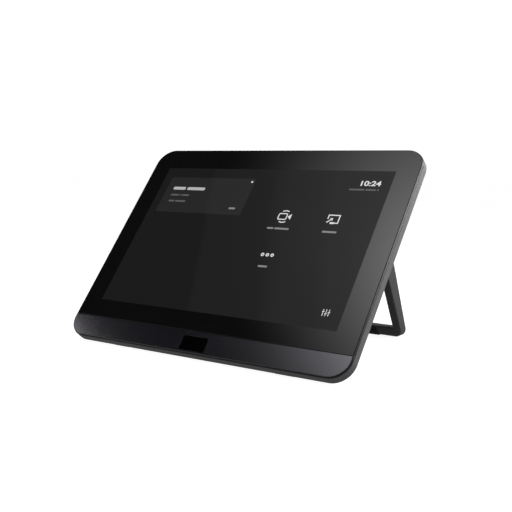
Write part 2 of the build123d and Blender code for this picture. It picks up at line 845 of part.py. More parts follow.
with BuildPart() as hinge_stop_right:
    with BuildSketch(hinge_plane(nut_outer)):
        Circle(washer_radius)
        wedge(lug_angle, stop_lug_half_angle, washer_radius - 1.0, stop_lug_radius)
        Circle(pin_radius + 0.02, mode=Mode.SUBTRACT)
    extrude(amount=stop_thickness)
pieces["hinge_stop_right"] = hinge_stop_right
pieces["hinge_stop_left"] = mirrored(hinge_stop_right)

with BuildPart() as hinge_nut_right:
    with BuildSketch(hinge_plane(nut_outer - nut_thickness)):
        RegularPolygon(3.6, 6, major_radius=False)
        Circle(pin_radius + 0.02, mode=Mode.SUBTRACT)
    extrude(amount=nut_thickness)
pieces["hinge_nut_right"] = hinge_nut_right
pieces["hinge_nut_left"] = mirrored(hinge_nut_right)

# ---------------------------------------------------------------- the stand
ground_reach = hinge_z / lean_cos
leg_taper = (arm_half_thickness - foot_half_thickness) / (ground_reach - taper_start)
leg_radius = 1.0
opening_radius = 1.2
corner_radius = 6.0
band_height = 2.2
stand_top = 100.0


def stand_point(reach, across):
    """A point beside the leg's centre line, as world (Y, Z): reach from the hinge, across to the rear."""
    return (
        hinge_y + reach * lean_sin + across * lean_cos,
        hinge_z - reach * lean_cos + across * lean_sin,
    )


def leg_face(side, height):
    """Where the tapered leg's front (-1) or rear (+1) face stands at a height above the desk."""
    widest = side * (arm_half_thickness + leg_taper * taper_start)
    reach = (hinge_z + widest * lean_sin - height) / (lean_cos + side * leg_taper * lean_sin)
    return stand_point(reach, widest - side * leg_taper * reach)


band_top = leg_face(-1, pad_standing + band_height)
band_bottom = (leg_face(-1, pad_standing)[0] + band_height, pad_standing)
heel = leg_face(1, pad_standing)
with BuildPart() as stand:
    with BuildSketch(Plane.YZ):
        with BuildLine():
            Polyline(
                stand_point(0, arm_half_thickness),
                stand_point(taper_start, arm_half_thickness),
                heel,
                band_bottom,
                band_top,
                stand_point(taper_start, -arm_half_thickness),
                stand_point(0, -arm_half_thickness),
            )
            ThreePointArc(
                stand_point(0, -arm_half_thickness),
                stand_point(-arm_half_thickness, 0),
                stand_point(0, arm_half_thickness),
            )
        make_face()
    extrude(amount=stand_width / 2, both=True)
    with BuildSketch(Plane.XZ):
        with Locations((0, (stand_top + pad_standing) / 2)):
            RectangleRounded(stand_width, stand_top - pad_standing, corner_radius)
    extrude(amount=stand_top, both=True, mode=Mode.INTERSECT)
    with BuildSketch(Plane.XZ):
        with Locations((0, crossbar_top + stand_top / 2)):
            RectangleRounded(2 * arm_inner, stand_top, opening_radius)
    extrude(amount=stand_top, both=True, mode=Mode.SUBTRACT)
    fillet(stand.faces().filter_by(Axis.X).edges().filter_by(Axis.Y, reverse=True), leg_radius)
    with BuildSketch(hinge_plane(-pin_outer)):
        Circle(pin_radius)
    extrude(amount=2 * pin_outer, mode=Mode.SUBTRACT)

# the rubber strip under the crossbar wraps up its front face and stands just proud of the metal
pad_half_width = 54.4
pad_seat = 0.8
pad_rear_margin = 2.2
pad_top = leg_face(-1, crossbar_top - 0.6)
with BuildPart() as stand_pad:
    with BuildSketch(Plane.YZ):
        with BuildLine():
            Polyline(
                (pad_top[0] - pad_standing, pad_top[1]),
                (band_top[0] - pad_standing, band_top[1]),
                (band_bottom[0] - pad_standing, 0),
                (heel[0] - pad_rear_margin, 0),
                (heel[0] - pad_rear_margin, pad_standing + pad_seat),
                (band_bottom[0] + pad_seat, pad_standing + pad_seat),
                (band_top[0] + pad_seat, band_top[1]),
                (pad_top[0] + pad_seat, pad_top[1]),
                close=True,
            )
        make_face()
    extrude(amount=pad_half_width, both=True)
pieces["stand_pad"] = stand_pad
with BuildPart() as seated_stand:
    add(stand.part)
    add(stand_pad.part, mode=Mode.SUBTRACT)
pieces["stand"] = seated_stand

# ---------------------------------------------------------------- write every piece
os.makedirs("parts", exist_ok=True)
for name, piece in pieces.items():
    piece.part.label = name
    export_step(piece.part, f"parts/{name}.step")
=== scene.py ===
import json
from math import cos, degrees, pi, radians, sin

import bpy
from mathutils import Euler, Matrix, Vector


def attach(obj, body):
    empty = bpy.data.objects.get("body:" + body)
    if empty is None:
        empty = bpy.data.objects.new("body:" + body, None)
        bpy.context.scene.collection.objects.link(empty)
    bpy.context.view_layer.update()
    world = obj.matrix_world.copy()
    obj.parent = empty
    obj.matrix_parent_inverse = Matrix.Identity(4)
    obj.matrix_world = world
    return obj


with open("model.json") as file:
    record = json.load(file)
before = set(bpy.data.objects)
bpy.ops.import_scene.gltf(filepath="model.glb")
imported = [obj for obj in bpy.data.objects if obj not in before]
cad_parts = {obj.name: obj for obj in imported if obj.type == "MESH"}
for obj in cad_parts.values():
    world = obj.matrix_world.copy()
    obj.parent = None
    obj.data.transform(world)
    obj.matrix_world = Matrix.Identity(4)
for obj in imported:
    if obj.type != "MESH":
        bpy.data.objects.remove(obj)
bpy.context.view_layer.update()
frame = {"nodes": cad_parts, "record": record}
nodes = frame["nodes"]
mm = 0.001

# ------------------------------------------------------------ the panel's own plane, read from the frame
# Local X runs across, local Y up the glass and local Z straight out of it.
# The origin is the middle of the panel's low edge, on the glass face.
mount_axes = {mount["name"]: Vector(mount["axis"]) for mount in frame["record"]["mounts"]}
across_glass = Vector((1, 0, 0))
up_glass = -mount_axes["rj45_socket"]
out_of_glass = across_glass.cross(up_glass)
low_edge = min(vertex.co.dot(up_glass) for vertex in nodes["front_frame"].data.vertices)
glass_face = max(vertex.co.dot(out_of_glass) for vertex in nodes["cover_glass"].data.vertices)
panel = Matrix.Translation(up_glass * low_edge + out_of_glass * glass_face) @ Matrix(
    (across_glass, up_glass, out_of_glass)
).transposed().to_4x4()

screen_width = 172.2 * mm
screen_height = 107.6 * mm
screen_center = 80.5 * mm
pixels_across = 1280


# ------------------------------------------------------------ camera, floor and lights
# The camera stands where the photograph's did. Its place was worked out from the panel's straight edges.
camera_data = bpy.data.cameras.new("camera")
camera_data.lens = 58.2
camera_data.sensor_width = 36.0
camera_data.clip_start = 0.01
camera_data.clip_end = 100.0
camera = bpy.data.objects.new("camera", camera_data)
camera.location = (0.29475, -0.42816, 0.11478)
camera.rotation_euler = Euler((radians(83.403), radians(-0.367), radians(34.761)), "XYZ")
bpy.context.scene.collection.objects.link(camera)
bpy.context.scene.camera = camera
bpy.context.scene.view_settings.view_transform = "Standard"


def link_object(name, mesh, matrix=None):
    """Adds an object with this mesh to the scene, where the matrix says."""
    made = bpy.data.objects.new(name, mesh)
    if matrix is not None:
        made.matrix_world = matrix
    bpy.context.scene.collection.objects.link(made)
    return made


def disc(name, radius, segments=96):
    """A flat round mesh in its own XY plane, made of wedges round its middle."""
    rim = [
        (radius * cos(2 * pi * step / segments), radius * sin(2 * pi * step / segments), 0)
        for step in range(segments)
    ]
    wedges = [(0, 1 + step, 1 + (step + 1) % segments) for step in range(segments)]
    mesh = bpy.data.meshes.new(name)
    mesh.from_pydata([(0, 0, 0)] + rim, [], wedges)
    return mesh


def empty_tree(material):
    """Turns on a material's nodes and leaves only its output."""
    material.use_nodes = True
    tree = material.node_tree
    tree.nodes.clear()
    return tree, tree.nodes.new("ShaderNodeOutputMaterial")


def glowing_paper(tree, grey, glow):
    """A grey shader with no gloss that also gives off white light."""
    shader = tree.nodes.new("ShaderNodeBsdfPrincipled")
    shader.inputs["Base Color"].default_value = (grey, grey, grey, 1)
    shader.inputs["Roughness"].default_value = 1.0
    shader.inputs["Specular IOR Level"].default_value = 0.0
    shader.inputs["Emission Color"].default_value = (1, 1, 1, 1)
    shader.inputs["Emission Strength"].default_value = glow
    return shader.outputs["BSDF"]


def make_floor():
    """A plain pale floor. The camera sees it nearly white, and it sheds only dim light on the object."""
    floor = link_object("floor", disc("floor", radius=40.0))
    material = bpy.data.materials.new("floor_paper")
    tree, output = empty_tree(material)
    bright = glowing_paper(tree, grey=0.42, glow=0.92)
    dim = glowing_paper(tree, grey=0.25, glow=0.26)
    ray = tree.nodes.new("ShaderNodeLightPath")
    seen = tree.nodes.new("ShaderNodeMixShader")
    tree.links.new(ray.outputs["Is Camera Ray"], seen.inputs["Fac"])
    tree.links.new(dim, seen.inputs[1])
    tree.links.new(bright, seen.inputs[2])
    tree.links.new(seen.outputs["Shader"], output.inputs["Surface"])
    floor.data.materials.append(material)


def make_softbox():
    """The round softbox overhead, bright in its middle and dark at its rim. The glass mirrors one side."""
    radius = 0.443
    falloff_power = 2.3
    middle_strength = 6.1
    softbox = link_object("softbox", disc("softbox", radius))
    softbox.location = (-0.098, -0.273, 0.703)
    softbox.visible_camera = False
    material = bpy.data.materials.new("softbox_glow")
    tree, output = empty_tree(material)
    place = tree.nodes.new("ShaderNodeTexCoord")
    distance = tree.nodes.new("ShaderNodeVectorMath")
    distance.operation = "LENGTH"
    tree.links.new(place.outputs["Object"], distance.inputs[0])
    closeness = tree.nodes.new("ShaderNodeMapRange")
    closeness.inputs["From Min"].default_value = radius
    closeness.inputs["From Max"].default_value = 0.0
    tree.links.new(distance.outputs["Value"], closeness.inputs["Value"])
    falloff = tree.nodes.new("ShaderNodeMath")
    falloff.operation = "POWER"
    falloff.inputs[1].default_value = falloff_power
    tree.links.new(closeness.outputs["Result"], falloff.inputs[0])
    strength = tree.nodes.new("ShaderNodeMath")
    strength.operation = "MULTIPLY"
    strength.inputs[1].default_value = middle_strength
    tree.links.new(falloff.outputs["Value"], strength.inputs[0])
    glow = tree.nodes.new("ShaderNodeEmission")
    tree.links.new(strength.outputs["Value"], glow.inputs["Strength"])
    tree.links.new(glow.outputs["Emission"], output.inputs["Surface"])
    softbox.data.materials.append(material)


def add_area_light(name, location, target, width, height, power):
    """A rectangular light that faces the target and that the camera doesn't see."""
    data = bpy.data.lights.new(name, "AREA")
    data.shape = "RECTANGLE"
    data.size = width
    data.size_y = height
    data.energy = power
    light = bpy.data.objects.new(name, data)
    light.location = location
    aim = Vector(target) - Vector(location)
    light.rotation_euler = aim.to_track_quat("-Z", "Y").to_euler()
    light.visible_camera = False
    bpy.context.scene.collection.objects.link(light)


def make_surroundings():
    """A white studio wall all round that gives way to a dark ceiling, which keeps the glass black."""
    wall_strength = 1.05
    wall_top = 0.30  # heights on a sphere round the scene, from 0 at the horizon to 1 overhead
    ceiling_start = 0.52
    world = bpy.data.worlds.new("studio")
    bpy.context.scene.world = world
    world.use_nodes = True
    tree = world.node_tree
    tree.nodes.clear()
    output = tree.nodes.new("ShaderNodeOutputWorld")
    background = tree.nodes.new("ShaderNodeBackground")
    background.inputs["Color"].default_value = (1, 1, 1, 1)
    place = tree.nodes.new("ShaderNodeTexCoord")
    split = tree.nodes.new("ShaderNodeSeparateXYZ")
    fade = tree.nodes.new("ShaderNodeMapRange")
    fade.interpolation_type = "SMOOTHSTEP"
    fade.inputs["From Min"].default_value = wall_top
    fade.inputs["From Max"].default_value = ceiling_start
    fade.inputs["To Min"].default_value = wall_strength
    fade.inputs["To Max"].default_value = 0.0
    tree.links.new(place.outputs["Generated"], split.inputs["Vector"])
    tree.links.new(split.outputs["Z"], fade.inputs["Value"])
    tree.links.new(fade.outputs["Result"], background.inputs["Strength"])
    tree.links.new(background.outputs["Background"], output.inputs["Surface"])


make_surroundings()
make_floor()
make_softbox()

# The strip makes the chin's left end glow. The wall lights the panel's right side and the stand.
add_area_light(
    "left_strip",
    location=(-0.30, -0.15, 0.13),
    target=(-0.10, -0.06, 0.012),
    width=0.08,
    height=0.06,
    power=0.052,
)
add_area_light(
    "right_wall",
    location=(0.55, 0.45, 0.32),
    target=(0.10, 0.03, 0.09),
    width=0.5,
    height=0.4,
    power=7.0,
)


# ------------------------------------------------------------ procedural materials
def add_node(tree, kind, **values):
    """Adds a shader node and sets its own settings."""
    made = tree.nodes.new(kind)
    for key, value in values.items():
        setattr(made, key, value)
    return made


def grain(tree, place, scale, detail=2.0, stretch=(1, 1, 1)):
    """Noise in the part's own metres, from 0 to 1. Scale is how many grains a metre holds."""
    sized = add_node(tree, "ShaderNodeVectorMath", operation="MULTIPLY")
    sized.inputs[1].default_value = stretch
    tree.links.new(place, sized.inputs[0])
    made = tree.nodes.new("ShaderNodeTexNoise")
    made.inputs["Scale"].default_value = scale
    made.inputs["Detail"].default_value = detail
    tree.links.new(sized.outputs["Vector"], made.inputs["Vector"])
    return made.outputs["Fac"]


def remap(tree, value, low, high, from_low=0.3, from_high=0.7):
    """Stretches a value to run from low to high. Without a range it takes the middle part of a noise."""
    made = tree.nodes.new("ShaderNodeMapRange")
    made.inputs["From Min"].default_value = from_low
    made.inputs["From Max"].default_value = from_high
    made.inputs["To Min"].default_value = low
    made.inputs["To Max"].default_value = high
    tree.links.new(value, made.inputs["Value"])
    return made.outputs["Result"]


def feed(tree, socket, value):
    """Links a socket to another node's result, or sets it to a number or a colour."""
    if isinstance(value, bpy.types.NodeSocket):
        tree.links.new(value, socket)
    elif isinstance(value, tuple):
        socket.default_value = (*value, 1)
    else:
        socket.default_value = value


def combine(tree, operation, first, second):
    """Adds or multiplies two values and keeps the outcome between 0 and 1."""
    made = add_node(tree, "ShaderNodeMath", operation=operation, use_clamp=True)
    feed(tree, made.inputs[0], first)
    feed(tree, made.inputs[1], second)
    return made.outputs["Value"]


def blend_colours(tree, share, first, second, blend="MIX"):
    """The first colour where the share is 0, and its blend with the second where the share is 1."""
    made = add_node(tree, "ShaderNodeMix", data_type="RGBA", blend_type=blend)
    low, high = [socket for socket in made.inputs if socket.type == "RGBA"]
    feed(tree, made.inputs["Factor"], share)
    feed(tree, low, first)
    feed(tree, high, second)
    return next(socket for socket in made.outputs if socket.type == "RGBA")


def rounded_normal(tree, radius):
    """The surface's direction, as if its edges were rounded to this radius."""
    made = add_node(tree, "ShaderNodeBevel", samples=6)
    made.inputs["Radius"].default_value = radius
    return made.outputs["Normal"]


def edge_share(tree, rounded):
    """0 on flat faces and 1 along edges, from how far the rounded normal leans away from the true one."""
    least_lean = 0.01
    full_lean = 0.08
    true_normal = tree.nodes.new("ShaderNodeNewGeometry").outputs["Normal"]
    along = add_node(tree, "ShaderNodeVectorMath", operation="DOT_PRODUCT")
    tree.links.new(rounded, along.inputs[0])
    tree.links.new(true_normal, along.inputs[1])
    sameness = along.outputs["Value"]
    return remap(tree, sameness, 0.0, 1.0, from_low=1.0 - least_lean, from_high=1.0 - full_lean)


def scaled(colour, factor):
    """A colour made lighter or darker."""
    return tuple(channel * factor for channel in colour)


def surface(
    name,
    colour,
    roughness,
    grain_size,
    grain_depth,
    variation=0.15,
    roughness_variation=0.08,
    metallic=0.0,
    specular=0.5,
    coat=0.0,
    edge_radius=0.3 * mm,
    edge_gain=1.8,
    stretch=(1, 1, 1),
):
    """A finish with cloudy colour, edges lighter partly from wear and partly as a painted highlight, uneven
    roughness and a fine raised grain.
    """
    clouds_per_metre = 60.0
    least_wear_and_highlight = 0.45
    material = bpy.data.materials.new(name)
    tree, output = empty_tree(material)
    shader = tree.nodes.new("ShaderNodeBsdfPrincipled")
    shader.inputs["Metallic"].default_value = metallic
    shader.inputs["Specular IOR Level"].default_value = specular
    shader.inputs["Coat Weight"].default_value = coat
    shader.inputs["Coat Roughness"].default_value = 0.19
    shader.inputs["Coat IOR"].default_value = 1.7
    place = tree.nodes.new("ShaderNodeTexCoord").outputs["Object"]
    clouds = grain(tree, place, clouds_per_metre, detail=4.0)
    fine = grain(tree, place, 1.0 / grain_size, stretch=stretch)
    rounded = rounded_normal(tree, edge_radius)
    # The edges are painted lighter: partly wear, partly a painted highlight where light would catch them.
    wear_and_painted_edge_highlight = combine(tree, "MULTIPLY", edge_share(tree, rounded), remap(tree, clouds, least_wear_and_highlight, 1.0))
    half_clouds = combine(tree, "MULTIPLY", clouds, 0.5)
    half_fine = combine(tree, "MULTIPLY", fine, 0.5)
    mottle = combine(tree, "ADD", half_clouds, half_fine)
    body = blend_colours(
        tree,
        remap(tree, mottle, 0.0, 1.0),
        scaled(colour, 1 - variation),
        scaled(colour, 1 + variation),
    )
    tinted = blend_colours(tree, wear_and_painted_edge_highlight, body, scaled(colour, edge_gain))
    tree.links.new(tinted, shader.inputs["Base Color"])
    uneven = remap(tree, mottle, roughness - roughness_variation, roughness + roughness_variation)
    tree.links.new(uneven, shader.inputs["Roughness"])
    relief = tree.nodes.new("ShaderNodeBump")
    relief.inputs["Strength"].default_value = 0.6
    relief.inputs["Distance"].default_value = grain_depth
    tree.links.new(fine, relief.inputs["Height"])
    tree.links.new(rounded, relief.inputs["Normal"])
    tree.links.new(relief.outputs["Normal"], shader.inputs["Normal"])
    tree.links.new(shader.outputs["BSDF"], output.inputs["Surface"])
    return material


def circuit_board(name):
    """Green solder mask with a faint rectangular pattern of tracks under it."""
    mask_green = (0.012, 0.085, 0.04)
    track_green = (0.03, 0.2, 0.09)
    tracks_per_metre = 160.0
    material = surface(name, mask_green, roughness=0.35, grain_size=0.5 * mm, grain_depth=0.01 * mm)
    tree = material.node_tree
    shader = tree.nodes["Principled BSDF"]
    mask = shader.inputs["Base Color"].links[0].from_socket
    tracks = tree.nodes.new("ShaderNodeTexBrick")
    tracks.inputs["Scale"].default_value = tracks_per_metre
    tracks.inputs["Mortar Size"].default_value = 0.03
    tracks.inputs["Color1"].default_value = (0, 0, 0, 1)
    tracks.inputs["Color2"].default_value = (0.1, 0.1, 0.1, 1)
    tracks.inputs["Mortar"].default_value = (1, 1, 1, 1)
    tree.links.new(tree.nodes["Texture Coordinate"].outputs["Object"], tracks.inputs["Vector"])
    tracked = blend_colours(tree, tracks.outputs["Fac"], mask, track_green)
    tree.links.new(tracked, shader.inputs["Base Color"])
    return material


# How much finer the grain is along X, Y and Z.
brushed = (1.0, 12.0, 12.0)
along_ribbon = (16.0, 1.0, 1.0)

# One finish for each material slot of the record. The board's finish is made apart, below.
finish_settings = {
    "black_glass": dict(
        colour=(0.0065, 0.0065, 0.007), roughness=0.045, grain_size=4.0 * mm, grain_depth=0.0002 * mm,
        variation=0.1, roughness_variation=0.015, edge_radius=0.1 * mm,
    ),
    "satin_chin": dict(
        colour=(0.0045, 0.004, 0.0065), roughness=0.23, grain_size=0.12 * mm, grain_depth=0.0008 * mm,
        roughness_variation=0.015, specular=1.0, coat=1.0, edge_radius=0.12 * mm,
    ),
    "gloss_window": dict(
        colour=(0.0015, 0.0015, 0.002), roughness=0.04, grain_size=4.0 * mm, grain_depth=0.0002 * mm,
        roughness_variation=0.01, edge_radius=0.08 * mm,
    ),
    "adhesive_foam": dict(
        colour=(0.02, 0.02, 0.02), roughness=0.9, grain_size=0.3 * mm, grain_depth=0.05 * mm,
    ),
    "clear_film": dict(
        colour=(0.06, 0.06, 0.065), roughness=0.12, grain_size=3.0 * mm, grain_depth=0.001 * mm,
        roughness_variation=0.03,
    ),
    "lcd_glass": dict(
        colour=(0.02, 0.02, 0.024), roughness=0.1, grain_size=3.0 * mm, grain_depth=0.001 * mm,
        roughness_variation=0.03,
    ),
    "bright_metal": dict(
        colour=(0.62, 0.61, 0.59), roughness=0.28, grain_size=0.25 * mm, grain_depth=0.01 * mm,
        metallic=1.0, edge_gain=1.2, stretch=brushed,
    ),
    "frame_plastic": dict(
        colour=(0.010, 0.010, 0.011), roughness=0.3, grain_size=0.2 * mm, grain_depth=0.002 * mm,
        roughness_variation=0.04, specular=0.15, edge_radius=0.15 * mm, edge_gain=1.2,
    ),
    "lens_plastic": dict(
        colour=(0.55, 0.55, 0.52), roughness=0.3, grain_size=0.6 * mm, grain_depth=0.004 * mm,
        edge_gain=1.1,
    ),
    "aluminium_sheet": dict(
        colour=(0.6, 0.61, 0.62), roughness=0.34, grain_size=0.2 * mm, grain_depth=0.008 * mm,
        metallic=1.0, edge_gain=1.2, stretch=brushed,
    ),
    "screw_steel": dict(
        colour=(0.1, 0.1, 0.105), roughness=0.34, grain_size=0.1 * mm, grain_depth=0.008 * mm,
        metallic=1.0,
    ),
    "chip_resin": dict(
        colour=(0.02, 0.02, 0.021), roughness=0.55, grain_size=0.15 * mm, grain_depth=0.01 * mm,
    ),
    "thermal_rubber": dict(
        colour=(0.25, 0.33, 0.4), roughness=0.8, grain_size=0.4 * mm, grain_depth=0.02 * mm,
        edge_gain=1.1,
    ),
    "coil_plastic": dict(
        colour=(0.03, 0.03, 0.03), roughness=0.5, grain_size=0.2 * mm, grain_depth=0.01 * mm,
    ),
    "capacitor_can": dict(
        colour=(0.05, 0.05, 0.07), roughness=0.3, grain_size=0.3 * mm, grain_depth=0.004 * mm,
    ),
    "connector_plastic": dict(
        colour=(0.018, 0.018, 0.02), roughness=0.45, grain_size=0.15 * mm, grain_depth=0.01 * mm,
    ),
    "ribbon_film": dict(
        colour=(0.35, 0.13, 0.02), roughness=0.3, grain_size=0.5 * mm, grain_depth=0.01 * mm,
        edge_gain=1.2, stretch=along_ribbon,
    ),
    "gold_contacts": dict(
        colour=(0.75, 0.5, 0.16), roughness=0.22, grain_size=0.1 * mm, grain_depth=0.004 * mm,
        metallic=1.0, edge_gain=1.15,
    ),
    "button_plastic": dict(
        colour=(0.03, 0.03, 0.032), roughness=0.4, grain_size=0.12 * mm, grain_depth=0.006 * mm,
    ),
    "cover_plastic": dict(
        colour=(0.055, 0.054, 0.056), roughness=0.5, grain_size=0.28 * mm, grain_depth=0.03 * mm,
        edge_radius=0.35 * mm, edge_gain=1.5,
    ),
    "foot_rubber": dict(
        colour=(0.008, 0.008, 0.008), roughness=0.85, grain_size=0.3 * mm, grain_depth=0.03 * mm,
        specular=0.2,
    ),
    "antenna_film": dict(
        colour=(0.02, 0.02, 0.02), roughness=0.5, grain_size=0.3 * mm, grain_depth=0.01 * mm,
    ),
    "lead_jacket": dict(
        colour=(0.015, 0.015, 0.015), roughness=0.5, grain_size=0.3 * mm, grain_depth=0.01 * mm,
    ),
    "hinge_steel": dict(
        colour=(0.35, 0.35, 0.36), roughness=0.3, grain_size=0.12 * mm, grain_depth=0.008 * mm,
        metallic=1.0, edge_gain=1.3, stretch=brushed,
    ),
    "stand_metal": dict(
        colour=(0.045, 0.045, 0.046), roughness=0.6, grain_size=0.22 * mm, grain_depth=0.02 * mm,
        specular=0.08, edge_radius=0.4 * mm, edge_gain=1.35,
    ),
}
finishes = {name: surface(name, **settings) for name, settings in finish_settings.items()}
finishes["board_laminate"] = circuit_board("board_laminate")

# The chin's gloss is faintly violet.
chin_shader = finishes["satin_chin"].node_tree.nodes["Principled BSDF"]
chin_shader.inputs["Specular Tint"].default_value = (0.95, 0.92, 1.0, 1)
chin_shader.inputs["Coat Tint"].default_value = (0.96, 0.94, 1.0, 1)


def finish_cad_nodes():
    """Every CAD node takes the finish of the material slot that the record gives it."""
    for subpart in frame["record"]["subparts"]:
        mesh = nodes[subpart["node"]].data
        mesh.materials.clear()
        mesh.materials.append(finishes[subpart["material_slot"]])


finish_cad_nodes()


# ------------------------------------------------------------ the lit picture on the screen
def wallpaper_tone(tree, place):
    """The screen's dark grey picture: slanted bands that get lighter to the right, as grey light."""
    band_slant = 0.3
    pattern_left = -80 * mm
    pattern_right = 130 * mm
    stops = (
        # share of the way across the pattern, grey light
        (0.0, 0.0116),
        (0.34, 0.0116),
        (0.36, 0.0150),
        (0.58, 0.0158),
        (0.60, 0.0180),
        (0.64, 0.0200),
        (0.76, 0.0200),
        (0.79, 0.0215),
        (1.0, 0.0210),
    )
    split = tree.nodes.new("ShaderNodeSeparateXYZ")
    tree.links.new(place, split.inputs["Vector"])
    slant = add_node(tree, "ShaderNodeMath", operation="MULTIPLY_ADD")
    slant.inputs[1].default_value = band_slant
    tree.links.new(split.outputs["Y"], slant.inputs[0])
    tree.links.new(split.outputs["X"], slant.inputs[2])
    share = remap(tree, slant.outputs["Value"], 0.0, 1.0, from_low=pattern_left, from_high=pattern_right)
    bands = tree.nodes.new("ShaderNodeValToRGB")
    ramp = bands.color_ramp
    while len(ramp.elements) < len(stops):
        ramp.elements.new(0.5)
    for element, (position, tone) in zip(ramp.elements, stops):
        element.position = position
        element.color = (tone, tone, tone, 1)
    tree.links.new(share, bands.inputs["Fac"])
    return bands.outputs["Color"]


def pixel_grid(tree, place):
    """A factor near 1 on the screen's pixels, which vary a little, and lower on the lines between them."""
    pitch = screen_width / pixels_across
    line_share = 0.12
    lines = tree.nodes.new("ShaderNodeTexBrick")
    lines.offset = 0.0
    lines.inputs["Scale"].default_value = 1.0
    lines.inputs["Brick Width"].default_value = pitch
    lines.inputs["Row Height"].default_value = pitch
    lines.inputs["Mortar Size"].default_value = pitch * line_share
    lines.inputs["Color1"].default_value = (1.02, 1.02, 1.02, 1)
    lines.inputs["Color2"].default_value = (0.98, 0.98, 0.98, 1)
    lines.inputs["Mortar"].default_value = (0.75, 0.75, 0.75, 1)
    tree.links.new(place, lines.inputs["Vector"])
    return lines.outputs["Color"]


def lit_surface(name, light, over_wallpaper=False):
    """Part of the lit picture behind the glass, with the glass's own gloss. Light is grey, from 0 to 1."""
    material = bpy.data.materials.new(name)
    tree, output = empty_tree(material)
    shader = tree.nodes.new("ShaderNodeBsdfPrincipled")
    shader.inputs["Base Color"].default_value = (0.002, 0.002, 0.002, 1)
    shader.inputs["Specular IOR Level"].default_value = 0.06
    place = tree.nodes.new("ShaderNodeTexCoord").outputs["Object"]
    smears = grain(tree, place, scale=30.0)
    tree.links.new(remap(tree, smears, low=0.03, high=0.07), shader.inputs["Roughness"])
    under = wallpaper_tone(tree, place) if over_wallpaper else (0.0, 0.0, 0.0)
    picture = blend_colours(tree, 1.0, under, (light, light, light), blend="ADD")
    dotted = blend_colours(tree, 1.0, picture, pixel_grid(tree, place), blend="MULTIPLY")
    tree.links.new(dotted, shader.inputs["Emission Color"])
    shader.inputs["Emission Strength"].default_value = 1.0
    tree.links.new(shader.outputs["BSDF"], output.inputs["Surface"])
    return material


picture_light = lit_surface("picture_light", 0.0, over_wallpaper=True)
card_light = lit_surface("card_light", 0.0105, over_wallpaper=True)
bright_light = lit_surface("bright_light", 0.8)
title_light = lit_surface("title_light", 0.5)
soft_light = lit_surface("soft_light", 0.26)
dim_light = lit_surface("dim_light", 0.12)


# ------------------------------------------------------------ flat outlines, in millimetres
def arc(center, radius, start, stop, steps=8):
    """Points along an arc. Angles are in degrees."""
    return [
        (
            center[0] + radius * cos(radians(start + (stop - start) * step / steps)),
            center[1] + radius * sin(radians(start + (stop - start) * step / steps)),
        )
        for step in range(steps + 1)
    ]


def circle(center, radius, steps):
    """The outline of a circle, with no point twice."""
    return arc(center, radius, 0, 360, steps)[:-1]


def rounded_box(center, width, height, radius):
    """The outline of a rounded rectangle."""
    right, top = width / 2 - radius, height / 2 - radius
    corners = ((right, top, 0), (-right, top, 90), (-right, -top, 180), (right, -top, 270))
    points = []
    for x, y, start in corners:
        points += arc((center[0] + x, center[1] + y), radius, start, start + 90, steps=4)
    return points


def frame_box(center, width, height, radius, line):
    """A rounded rectangle drawn as a line: its outer and its inner outline."""
    least_radius = 0.1 * line
    outer = rounded_box(center, width, height, radius)
    inner = rounded_box(center, width - 2 * line, height - 2 * line, max(radius - line, least_radius))
    return [outer, inner]


def ring(center, radius, line):
    """A circle drawn as a line: its outer and its inner outline."""
    return [circle(center, radius, steps=24), circle(center, radius - line, steps=24)]


def arc_line(center, radius, start, stop, line):
    """An arc drawn as a line, with square ends."""
    return [arc(center, radius + line / 2, start, stop) + arc(center, radius - line / 2, stop, start)]


def straight_line(start, stop, line):
    """A straight line with round ends."""
    direction = (Vector(stop) - Vector(start)).normalized()
    angle = degrees(direction.angle_signed(Vector((1, 0)), 0.0))
    return [arc(start, line / 2, angle + 90, angle + 270) + arc(stop, line / 2, angle - 90, angle + 90)]


def path_line(points, line):
    """Straight runs drawn as one line of even width, with mitred corners and square ends."""
    corners = [Vector(point) for point in points]
    runs = [(after - before).normalized() for before, after in zip(corners, corners[1:])]
    left, right = [], []
    for corner, run_in, run_out in zip(corners, runs[:1] + runs, runs + runs[-1:]):
        side = Vector((-run_in.y - run_out.y, run_in.x + run_out.x)) / (1 + run_in.dot(run_out))
        left.append(tuple(corner + side * line / 2))
        right.append(tuple(corner - side * line / 2))
    return [left + right[::-1]]


def arrow(start, angle, shaft, head, line):
    """An arrow with a solid head, as one outline. The angle is in degrees."""
    along = Vector((cos(radians(angle)), sin(radians(angle))))
    aside = Vector((-along.y, along.x))
    half = line / 2
    tip = shaft + head
    shape = ((0, half), (0, -half), (shaft, -half), (shaft, -head), (tip, 0), (shaft, head), (shaft, half))
    return [[tuple(Vector(start) + along * forward + aside * sideways) for forward, sideways in shape]]


def words(left, low, lengths, height):
    """Stand-ins for a line of words: one plain bar for each word."""
    gap = 0.6 * height
    corner = 0.35 * height
    bars = []
    for length in lengths:
        bars.append(rounded_box((left + length / 2, low + height / 2), length, height, corner))
        left += length + gap
    return bars


# ------------------------------------------------------------ thin pieces on the glass and on the cover
sheet_half_thickness = 0.004 * mm
layer_gap = 0.012 * mm


def layer(level):
    """The plane of a layer in front of the glass. Level 1 is nearest to the glass."""
    return panel @ Matrix.Translation((0, 0, level * layer_gap))


picture_layer = layer(1)
card_layer = layer(2)
mark_layer = layer(3)


def mesh_of(curve_data, name):
    """The mesh that a 2-D curve or a text fills."""
    drawn = bpy.data.objects.new(name + "_outline", curve_data)
    bpy.context.scene.collection.objects.link(drawn)
    bpy.context.view_layer.update()
    mesh = bpy.data.meshes.new_from_object(drawn.evaluated_get(bpy.context.evaluated_depsgraph_get()))
    bpy.data.objects.remove(drawn)
    mesh.name = name
    return mesh


def lay(name, mesh, place, material):
    """Puts a thin piece where place says, on the housing."""
    mesh.materials.clear()
    mesh.materials.append(material)
    piece = link_object(name, mesh, place)
    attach(piece, "housing")


